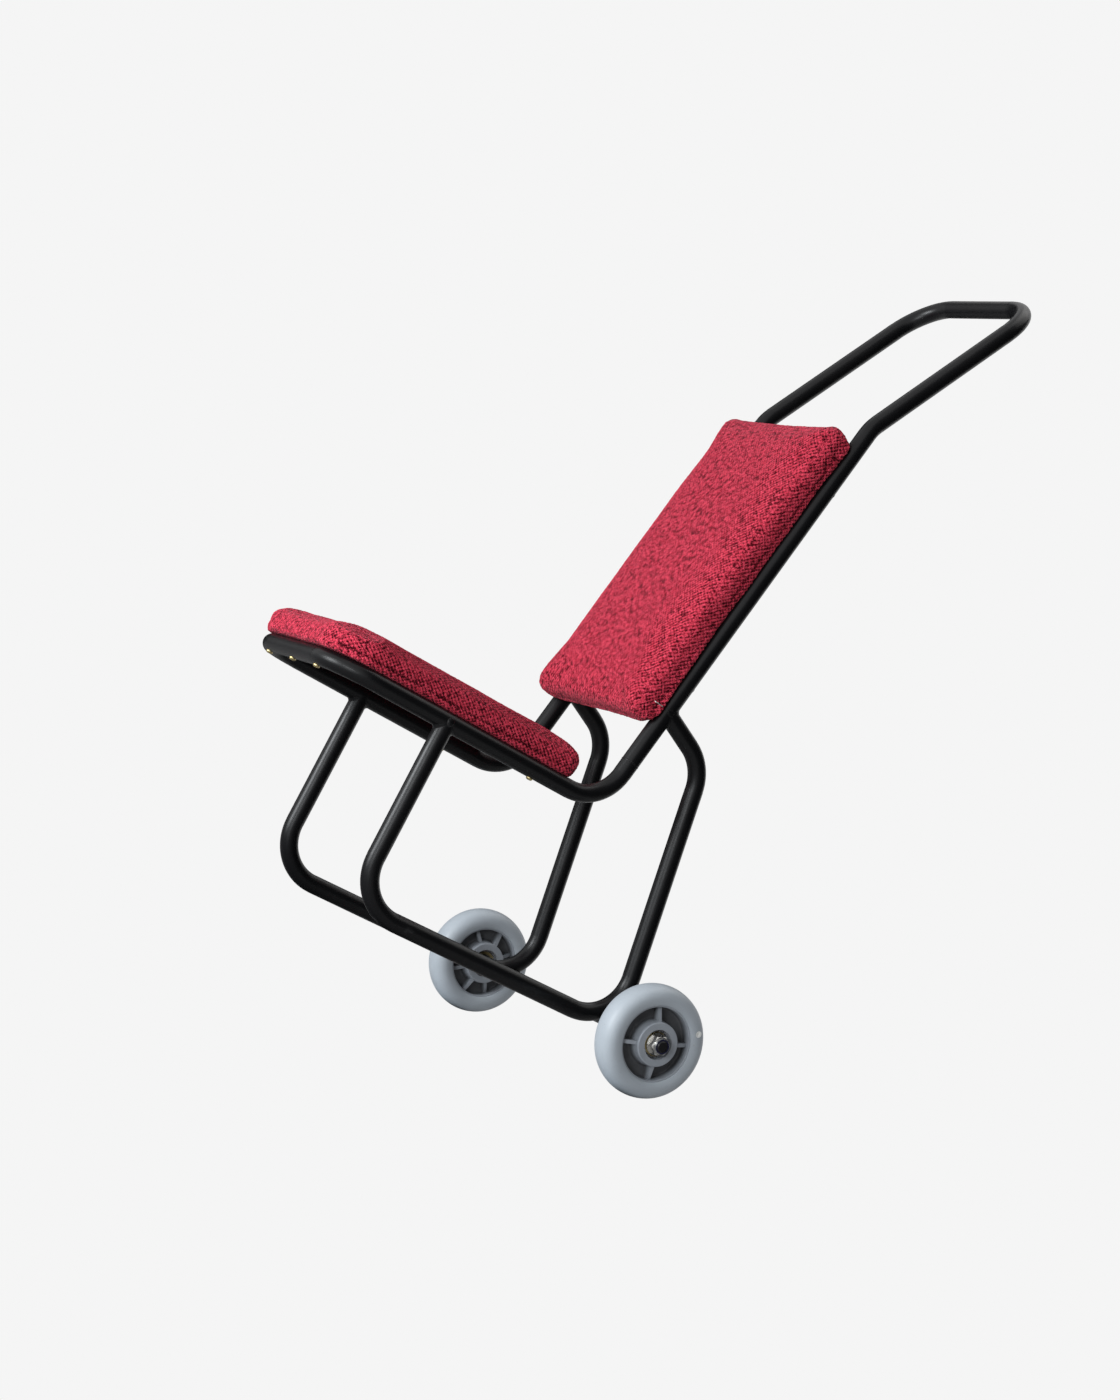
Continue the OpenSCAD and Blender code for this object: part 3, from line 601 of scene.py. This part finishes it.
def ruffle(piece, pad, seed):
    """Sets the crease above the board, the gathers at the corners and the cloth's nubs into the cover; lower
    nub values paint shade into the crease.
    """
    mesh = piece.data
    points = points_of(mesh)
    normals = np.zeros(len(points) * 3)
    mesh.vertices.foreach_get("normal", normals)
    normals = normals.reshape(-1, 3)
    drift = Vector((seed, 2 * seed, 3 * seed))
    out, pile = np.zeros(len(points)), np.zeros(len(points))
    for i, (x, y, z) in enumerate(points):
        if z > BOARD_TOP - INNER_ROOM and abs(normals[i][2] + 1) < INNER_FLAT:
            continue
        here = Vector((x, y, z)) + drift
        nub = 1 - NUB_SHARP * noise.voronoi(here / NUB)[0][0]
        pile[i] = min(max(NUB_SHARE * nub + ROW_SHARE * rows(here, normals[i]), 0), 1)
        out[i] += NUB_HEIGHT * (pile[i] - PILE_LEVEL) * (HEM_PILE if z < HEM_CUT else 1)
        out[i] += LUMP_HEIGHT * noise.noise(here * LUMPS_PER_M)
        if z > HEM_CUT:
            if abs(normals[i][0]) > SIDE_FACING:
                fold = crease(here, z, pad)
                out[i] -= pad["crease"] * fold
                # Painted shade: a lower nub value in the crease gives the cloth its dark pit colour there
                pile[i] *= 1 - CREASE_PAINTED_SHADE * fold
            out[i] += gathers(here, x, y, z, pad)
    set_points(mesh, points + normals * out[:, None])
    mesh.attributes.new("nub", "FLOAT", "POINT").data.foreach_set("value", pile.astype(np.float32))


def sag(piece, pad):
    """Lets the cover's long lower edges bulge out past the rails and hang a little beside them."""
    points = points_of(piece.data)
    share = np.clip((np.abs(points[:, 0]) - SAG_FROM) / SAG_RUN, 0, 1)
    share = share * share * (3 - 2 * share) * np.exp(-np.maximum(points[:, 2], 0) / SAG_HIGH)
    points[:, 0] += np.sign(points[:, 0]) * pad["sag"] * share
    points[:, 2] -= pad["sag"] * SAG_DROP * share ** 2
    set_points(piece.data, points)


def cushion(name, pad, material, nodes, seed):
    piece = pad_form(name, pad)
    voxels = piece.modifiers.new("voxels", "REMESH")
    voxels.mode = "VOXEL"
    voxels.voxel_size = pad["voxel"]
    settle(piece)
    swell(piece)
    turn_under(piece, pad)
    piece.modifiers.new("finer", "SUBSURF").levels = FINER_LEVELS
    settle(piece)
    close_inside(piece)
    ruffle(piece, pad, seed)
    sag(piece, pad)
    piece.data.transform(pad_place(pad))
    fitted(piece, material)
    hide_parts(*nodes)
    return piece


weave = red_weave()
cushion("seat_cushion", SEAT_PAD, weave, ("seat_cover", "seat_foam"), seed=3)
back_cushion = cushion("back_cushion", BACK_PAD, weave, ("back_cover", "back_foam"), seed=11)


# Welds where the tubes meet
SIDE = np.array([1.0, 0, 0])
RIPPLE = 2.6 * MM
BEAD_POINTS = 10
FILLET = 4.5 * MM
FILLET_RIPPLE = 0.1 * MM
FILLET_ROOT = 2 * MM
HOLLOW_SHARE = 0.3
FLANK_SHARE = 0.15
FLANK_PROUD = 0.15 * MM
LEG_FADE = 0.5
FOOT_FADE = 0.25
SINK = 0.25 * MM
SINK_FADE = 3
# Domed weld ends, as size and height, and the waves of their rim as (count, share, phase)
UPRIGHT_CROWN = (6.5 * MM, 1.7 * MM)
ARM_CROWN = (5.5 * MM, 0.7 * MM)
CROWN_WAVES = [(3, 0.06, 0.7), (7, 0.03, 0)]
CROWN_POINTS = 40
CROWN_RING_SHARES = (1, 0.97, 0.9, 0.8, 0.66, 0.5, 0.34, 0.18, 0.06)
CROWN_NARROW = 0.86
CROWN_DOME = 2.4
CROWN_SINK = 0.4 * MM
# Butt welds and the axle's seams
BUTT_R = 1.9 * MM
BUTT_DEPTH = 1.5 * MM
BUTT_SWING = 0.05
SEAM_R = 2.3 * MM
SEAM_SINK = 0.2 * MM
SEAM_SWING = 0.07


def side_dir(slope):
    return np.array([0, math.cos(math.radians(slope)), math.sin(math.radians(slope))])


def in_place(x, joint):
    return np.array([x, *joint])


def round_turn(count):
    return np.linspace(0, math.tau, count, endpoint=False)


def joined(rings):
    """Vertices and faces of a closed band through rings of points, the last joined to the first."""
    n, around = len(rings), len(rings[0])
    faces = []
    for k in range(n):
        a, b = k * around, (k + 1) % n * around
        for j in range(around):
            i = (j + 1) % around
            faces.append((a + j, b + j, b + i, a + i))
    return [p for ring in rings for p in ring], faces


def ripples(loop):
    """Waves along a closed loop, a whole number of them."""
    step = np.linalg.norm(np.roll(loop, -1, 0) - loop, axis=1)
    run = np.cumsum(step) - step
    whole = step.sum()
    return np.cos(math.tau * max(round(whole / RIPPLE), 1) * run / whole)


def bead(loop, radius, swing):
    """Round bead along a closed loop, rippled by a share of its radius."""
    loop = np.asarray(loop)
    ahead = np.roll(loop, -1, 0) - np.roll(loop, 1, 0)
    ahead /= np.linalg.norm(ahead, axis=1, keepdims=True)
    out = loop - loop.mean(0)
    out -= ahead * (out * ahead).sum(1, keepdims=True)
    out /= np.linalg.norm(out, axis=1, keepdims=True)
    across = np.cross(ahead, out)
    size = radius * (1 + swing * ripples(loop))
    return joined([[loop[k] + size[k] * (math.cos(a) * out[k] + math.sin(a) * across[k])
                    for a in round_turn(BEAD_POINTS)] for k in range(len(loop))])


def fillet_weld(x, joint, branch, main, steps=160, across=7):
    """Hollow fillet in the two corners where a tube runs into the side of another."""
    a, b = side_dir(branch), side_dir(main)
    n_a, n_b = side_dir(branch + 90), side_dir(main + 90)
    if a @ n_b < 0:
        n_b = -n_b
    turn = round_turn(steps)
    seam = []
    for t in turn:
        c, s = math.cos(t), math.sin(t)
        reach = TUBE_R * (abs(c) - c * (n_a @ n_b)) / (a @ n_b)
        seam.append(in_place(x, joint) + reach * a + TUBE_R * (c * n_a + s * SIDE))
    wave = ripples(np.array(seam))
    rings = []
    for k, t in enumerate(turn):
        c, s = math.cos(t), math.sin(t)
        face_a, face_b = c * n_a + s * SIDE, abs(c) * n_b + s * SIDE
        away = b * math.copysign(1, c * (n_a @ b))
        leg = FILLET * (abs(c) ** LEG_FADE * (1 - FLANK_SHARE) + FLANK_SHARE)
        foot_a, foot_b = seam[k] + leg * a, seam[k] + leg * abs(c) ** FOOT_FADE * away
        lean = (face_a + face_b) / np.linalg.norm(face_a + face_b)
        hollow = HOLLOW_SHARE * ((foot_a + foot_b) / 2 - seam[k])
        corner = seam[k] + hollow + FILLET_RIPPLE * wave[k] * lean
        ring = []
        for u in np.linspace(0, 1, across):
            p = (1 - u) ** 2 * foot_a + 2 * u * (1 - u) * corner + u ** 2 * foot_b
            edge = abs(2 * u - 1)
            dip = SINK * edge ** SINK_FADE - FLANK_PROUD * (1 - abs(c)) * (1 - edge)
            ring.append(p - dip * ((1 - u) * face_a + u * face_b))
        ring.append(seam[k] - FILLET_ROOT * lean)
        rings.append(ring)
    return joined(rings)


def crown_weld(x, joint, branch, size, height):
    """Domed end of a weld on the flat flank of a joint, outward side."""
    out = math.copysign(1, x)
    along, up = side_dir(branch), side_dir(branch + 90)
    rings, turn = [], round_turn(CROWN_POINTS)
    for share in CROWN_RING_SHARES:
        ring = []
        for t in turn:
            wobble = 1 + sum(part * math.cos(count * t + phase) for count, part, phase in CROWN_WAVES)
            u, v = (size * share * wobble * f for f in (math.cos(t), CROWN_NARROW * math.sin(t)))
            flank = math.sqrt(TUBE_R ** 2 - min(abs(u), abs(v)) ** 2)
            rise = height * (1 - share ** CROWN_DOME) - CROWN_SINK * (share == 1)
            ring.append(in_place(x, joint) + u * along + v * up + SIDE * out * (flank + rise))
        rings.append(ring)
    vertices, bands = joined(rings)
    n = len(turn)
    ends = [tuple(range(n)), tuple(range(len(vertices) - 1, len(vertices) - n - 1, -1))]
    return vertices, ends + bands[:-n]


def butt_ring(x, joint, slope, steps=96):
    """Dressed butt weld round a tube."""
    flat = side_dir(slope + 90)
    loop = [in_place(x, joint) + (TUBE_R - BUTT_DEPTH) * (math.cos(t) * flat + math.sin(t) * SIDE)
            for t in round_turn(steps)]
    return bead(loop, BUTT_R, BUTT_SWING)


def axle_seam(x, steps=72):
    """Line where the axle lies in the notch of a rear bend."""
    to_bend = np.array(REAR_BEND) - np.array(AXLE)
    base = math.atan2(to_bend[1], to_bend[0])
    far = np.linalg.norm(to_bend)
    outside = BEND_R + TUBE_R - SEAM_SINK
    limit = math.acos((far ** 2 + AXLE_R ** 2 - outside ** 2) / (2 * far * AXLE_R))
    loop = []
    for t in round_turn(steps):
        angle = limit * math.cos(t)
        rho = math.sqrt(far ** 2 + AXLE_R ** 2 - 2 * far * AXLE_R * math.cos(angle))
        wide = math.sqrt(max(TUBE_R ** 2 - (rho - BEND_R) ** 2, 0))
        loop.append([x + math.copysign(wide, math.sin(t)), AXLE[0] + AXLE_R * math.cos(base + angle),
                     AXLE[1] + AXLE_R * math.sin(base + angle)])
    return bead(loop, SEAM_R, SEAM_SWING)


def gathered(name, parts):
    """One piece from several lists of vertices and faces."""
    vertices, faces = [], []
    for some, others in parts:
        faces += [tuple(i + len(vertices) for i in f) for f in others]
        vertices += [tuple(v) for v in some]
    piece = new_piece(name, vertices, faces)
    work = bmesh.new()
    work.from_mesh(piece.data)
    bmesh.ops.recalc_face_normals(work, faces=work.faces)
    work.to_mesh(piece.data)
    work.free()
    return piece


for side, x in (("left", SIDE_X), ("right", -SIDE_X)):
    welds = [fillet_weld(x, ARM_END, ARM_SLOPE + 180, BACK_SLOPE),
             fillet_weld(x, UPRIGHT_END, UPRIGHT_SLOPE + 180, SEAT_SLOPE),
             crown_weld(x, UPRIGHT_END, UPRIGHT_SLOPE + 180, *UPRIGHT_CROWN),
             crown_weld(x, ARM_END, ARM_SLOPE + 180, *ARM_CROWN),
             butt_ring(x, BOW_SPLIT, BACK_SLOPE), axle_seam(x)]
    fitted(gathered(side + "_welds", welds), coat)


# Screw heads with a cross recess
HEAD_R = 4.75 * MM
HEAD_SKIRT = 1.2 * MM
HEAD_DOME = 3.5
HEAD_MIDDLE_SHARE = 0.4
SLOT_W = 0.62 * MM
SLOT_FLARE = 1.5
SLOT_REACH = 2.7 * MM
SLOT_FULL_SHARE = 0.6
SLOT_DEPTH = 1.5 * MM
# Places of the screws on the pads: level below the rails' middle line, height of the head, turns in radians
FRONT_SCREW_X = 82 * MM
FRONT_SCREW_Y = -429.2 * MM
RAIL_SCREW_Y = -112 * MM
BACK_SCREW_LOW, BACK_SCREW_HIGH = 202 * MM, 537 * MM
SEAT_SCREWS = {"level": -TUBE_R, "height": 2.9 * MM, "first_turn": 0, "next_turn": 0.9}
BACK_SCREWS = {"level": -12.35 * MM, "height": 0.3 * MM, "first_turn": 0.4, "next_turn": 1.1}


def ease(value, low, high):
    t = min(max((value - low) / (high - low), 0), 1)
    return t * t * (3 - 2 * t)


def slot_arm(along, aside):
    """Depth share of one arm of the cross, at a distance along it and aside from it."""
    wide = 1 - ease(abs(aside), SLOT_W, SLOT_W * SLOT_FLARE)
    return wide * (1 - ease(abs(along), SLOT_REACH * SLOT_FULL_SHARE, SLOT_REACH))


def screw_head(place, out, height, turn, rings=34, around=72):
    """Head of a screw: a round crown of a height, with a cross recess turned by an angle."""
    out = Vector(out)
    across = Vector((1, 0, 0))
    other = out.cross(across)
    cu, su = math.cos(turn), math.sin(turn)
    vertices, faces = [], []
    for k in range(rings):
        r = HEAD_R * (k + HEAD_MIDDLE_SHARE) / (rings - 1 + HEAD_MIDDLE_SHARE)
        for j in range(around):
            t = math.tau * j / around
            u, v = r * math.cos(t), r * math.sin(t)
            rise = height * math.sqrt(max(1 - (r / HEAD_R) ** HEAD_DOME, 0))
            rise -= SLOT_DEPTH * max(slot_arm(u, v), slot_arm(v, u))
            spot = Vector(place) + across * (u * cu - v * su) + other * (u * su + v * cu)
            vertices.append(spot + out * rise)
    for j in range(around):
        vertices.append(vertices[(rings - 1) * around + j] - out * HEAD_SKIRT)
    for k in range(rings):
        for j in range(around):
            i = (j + 1) % around
            faces.append((k * around + j, k * around + i, (k + 1) * around + i, (k + 1) * around + j))
    faces += [tuple(range(around)), tuple(range((rings + 1) * around - 1, rings * around - 1, -1))]
    return vertices, faces


def on_pad(pad, x, y, z):
    """A point of a pad's own frame, with the rails' middle line at z = 0, in the trolley's frame."""
    return pad_place(pad) @ Vector((x, y, z - PAD_SEAT))


def pad_normal(pad):
    return pad_place(pad).to_3x3() @ Vector((0, 0, 1))


def screw_heads(name, pad, screws, spots):
    """Heads of a pad's screws as one piece."""
    heads = [screw_head(on_pad(pad, x, y, screws["level"]), -pad_normal(pad), screws["height"],
                        screws["first_turn"] + screws["next_turn"] * k) for k, (x, y) in enumerate(spots)]
    return gathered(name, heads)


seat_spots = [(x, FRONT_SCREW_Y) for x in (-FRONT_SCREW_X, 0, FRONT_SCREW_X)]
seat_spots += [(x, RAIL_SCREW_Y) for x in (-SIDE_X, SIDE_X)]
back_spots = [(x, y) for y in (BACK_SCREW_LOW, BACK_SCREW_HIGH) for x in (-SIDE_X, SIDE_X)]
seat_heads = screw_heads("seat_screw_heads", SEAT_PAD, SEAT_SCREWS, seat_spots)
fitted(seat_heads, golden)
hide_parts("seat_screws")
back_heads = screw_heads("back_screw_heads", BACK_PAD, BACK_SCREWS, back_spots)
fitted(back_heads, axle_paint)
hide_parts("back_screws")


# Staples that hold the turned-under cloth
STAPLE_HALF = 5.2 * MM
STAPLE_W = 0.65 * MM
STAPLE_T = 0.32 * MM
STAPLE_SQUARE = 1.2
STAPLE_POINTS = 10
STAPLE_PITCH = 38 * MM
STAPLE_INSET = 30 * MM
STAPLE_SINK = 0.1 * MM
STAPLE_LEAN = 0.25
LEAN_STEP, LEAN_LEVEL = 1.7, 0.3
CORNER_HALF = 6.8 * MM
CORNER_PROUD = 0.7 * MM
CORNER_SPOT = (PAD_W / 2, 155 * MM, 10 * MM)
# A staple's wire from leg to leg, as (share of its half, rise in millimetres)
STAPLE_BENDS = [(-1, -3.2), (-1, -0.5), (-0.93, 0), (-0.5, 0.12),
                (0.5, 0.12), (0.93, 0), (1, -0.5), (1, -3.2)]


def staple(middle, along, out, half=STAPLE_HALF):
    """Flat wire bridge with both legs driven in."""
    along, out = Vector(along).normalized(), Vector(out).normalized()
    wide = along.cross(out)
    rings = []
    for k, (share, rise) in enumerate(STAPLE_BENDS):
        before, after = STAPLE_BENDS[max(k - 1, 0)], STAPLE_BENDS[min(k + 1, len(STAPLE_BENDS) - 1)]
        run = (along * (after[0] - before[0]) * half + out * (after[1] - before[1]) * MM).normalized()
        thick = wide.cross(run)
        here = Vector(middle) + along * share * half + out * (STAPLE_T + rise * MM)
        flat, high = wide * STAPLE_W * STAPLE_SQUARE, thick * STAPLE_T
        rings.append([here + flat * math.cos(t) ** 3 + high * math.sin(t) for t in round_turn(STAPLE_POINTS)])
    vertices, faces = joined(rings)
    n = len(rings[0])
    ends = [tuple(range(n - 1, -1, -1)), tuple(range(len(vertices) - n, len(vertices)))]
    return vertices, faces[:-n] + ends


def staples(name, pad, seed):
    """A row of staples along the hem of a pad, a little unevenly set."""
    spots, run = [], 0
    outline = pad_outline(pad, STAPLE_INSET, corner_points=12, side_points=40)
    for p, q in zip(outline, outline[1:] + outline[:1]):
        run += math.dist(p, q)
        if run > STAPLE_PITCH:
            run = 0
            lean = STAPLE_LEAN * noise.noise(Vector((seed, len(spots) * LEAN_STEP, LEAN_LEVEL)))
            spots.append((p, math.atan2(q[1] - p[1], q[0] - p[0]) + lean))
    place, level = pad_place(pad).to_3x3(), PAD_SEAT - STAPLE_SINK
    parts = [staple(on_pad(pad, x, y, level), place @ Vector((math.cos(a), math.sin(a), 0)), -pad_normal(pad))
             for (x, y), a in spots]
    return fitted(gathered(name, parts), bright)


def corner_staple(name, piece, pad, spot):
    """Staple in the side of a pad, through its corner fold."""
    place = pad_place(pad)
    ends = [piece.closest_point_on_mesh(place @ (Vector(spot) + Vector((0, 0, reach))))[1]
            for reach in (-CORNER_HALF, CORNER_HALF)]
    along = ends[1] - ends[0]
    out = (place.to_3x3() @ Vector((0, 1, 0))).cross(along).normalized()
    parts = [staple((ends[0] + ends[1]) / 2 + out * CORNER_PROUD, along, out, CORNER_HALF)]
    return fitted(gathered(name, parts), bright)


staples("seat_staples", SEAT_PAD, seed=1)
staples("back_staples", BACK_PAD, seed=2)
corner_staple("corner_staple", back_cushion, BACK_PAD, CORNER_SPOT)


# Floor, light and camera, in metres
MIDDLE = (0, 0, 0.55)
FLOOR_HALF = 9
FLOOR_PATCH = 0.8
FLOOR_FADE = (0.7, 3.0)
FLOOR_WHITE = ((0.80, 0.80, 0.80), (0.84, 0.84, 0.84))
BACKDROP_WHITE = (0.913, 0.913, 0.913)
AMBIENT_TINT = (0.95, 0.97, 1)
AMBIENT = 0.24
# Dark cards, as direction from the trolley, distance and half of a side
CARDS = {"near_card": ((0.74, 0.49, 0.45), 3.5, 4.5), "far_card": ((-1, 0.1, 0.12), 3.2, 2.2)}
CARD_PATCH = 0.5
CARD_BLACK = ((0.015, 0.015, 0.015), (0.025, 0.025, 0.025))
# Lamps, as place, size, power in watts and tint
DAYLIGHT, WARM_WHITE = (0.93, 0.97, 1), (1, 0.99, 0.97)
LAMPS = {"window": ((0.0, -3.2, -0.1), (1.3, 1.1), 104, DAYLIGHT),
         "door": ((2.2, -2.7, -0.35), (1.2, 1.2), 46, DAYLIGHT),
         "ceiling": ((0.3, 0.4, 3.4), (2.4, 2.4), 26, WARM_WHITE)}
# Camera, with its lens in millimetres and its turn in degrees
CAMERA_PLACE = (3.52255, -1.72515, -0.26905)
CAMERA_TURN = (101.6864, -33.5337, 57.0743)
SENSOR_HEIGHT = 36
FOCAL_LENGTH = 75.0754
CLIP_END = 60


def square(name, half):
    corners = [(-half, -half, 0), (half, -half, 0), (half, half, 0), (-half, half, 0)]
    return new_piece(name, corners, [(0, 1, 2, 3)])


def stage_floor():
    """Pale paper floor that fades out with distance and can't be seen from below."""
    floor = square("floor", FLOOR_HALF)
    look = Look("floor_paper", roughness=0.9)
    look.feed("Base Color", look.mix(look.cloud(FLOOR_PATCH), *FLOOR_WHITE))
    below = look.node("NewGeometry", {}, {}, "Backfacing")
    shaded = look.node("LightPath", {}, {}, "Is Shadow Ray")
    away = look.node("VectorMath", {"operation": "LENGTH"}, {0: look.here()}, "Value")
    unseen = look.math("MAXIMUM", look.math("MAXIMUM", below, shaded), look.step(away, *FLOOR_FADE))
    paper = Val(look, look.shader.outputs[0])
    clear = look.node("BsdfTransparent", {}, {})
    look.show("Material Output", look.node("MixShader", {}, {0: unseen, 1: paper, 2: clear}))
    paint(floor, look.material)


def sky():
    """Even light from all round, and a pale backdrop where it is seen straight, in gloss or through glass."""
    world = bpy.data.worlds.new("studio")
    bpy.context.scene.world = world
    world.use_nodes = True
    nodes = Nodes(world.node_tree)
    straight, gloss, through = (nodes.node("LightPath", {}, {}, f"Is {kind} Ray")
                                for kind in ("Camera", "Glossy", "Transmission"))
    seen = nodes.math("MAXIMUM", nodes.math("MAXIMUM", straight, through), gloss)
    ambient = nodes.node("Background", {}, {"Color": AMBIENT_TINT, "Strength": AMBIENT})
    backdrop = nodes.node("Background", {}, {"Color": BACKDROP_WHITE})
    nodes.show("World Output", nodes.node("MixShader", {}, {0: seen, 1: ambient, 2: backdrop}))


def soft_box(name, place, size, power, tint):
    lamp = bpy.data.lights.new(name, "AREA")
    lamp.shape, lamp.size, lamp.size_y = "RECTANGLE", *size
    lamp.energy, lamp.color = power, tint
    box = bpy.data.objects.new(name, lamp)
    bpy.context.scene.collection.objects.link(box)
    box.location = place
    box.visible_camera = False
    box.rotation_euler = (Vector(MIDDLE) - Vector(place)).to_track_quat("-Z", "Y").to_euler()


def dark_card(name, towards, far, half):
    """Black card beside the trolley that only its reflections show."""
    card = square(name, half)
    look = Look("card_paper", roughness=0.9, specular_ior_level=0.0)
    look.feed("Base Color", look.mix(look.cloud(CARD_PATCH), *CARD_BLACK))
    paint(card, look.material)
    card.location = Vector(MIDDLE) + Vector(towards).normalized() * far
    card.rotation_euler = (-Vector(towards)).to_track_quat("Z", "Y").to_euler()
    card.visible_camera = card.visible_diffuse = card.visible_shadow = card.visible_transmission = False


def viewpoint():
    lens = bpy.data.cameras.new("camera")
    lens.sensor_fit, lens.sensor_height, lens.lens = "VERTICAL", SENSOR_HEIGHT, FOCAL_LENGTH
    lens.clip_end = CLIP_END
    camera = bpy.data.objects.new("camera", lens)
    bpy.context.scene.collection.objects.link(camera)
    camera.location = CAMERA_PLACE
    camera.rotation_euler = Euler([math.radians(a) for a in CAMERA_TURN])
    bpy.context.scene.camera = camera


stage_floor()
sky()
for name, card in CARDS.items():
    dark_card(name, *card)
for name, lamp in LAMPS.items():
    soft_box(name, *lamp)
viewpoint()
bpy.context.scene.view_settings.view_transform = "Standard"
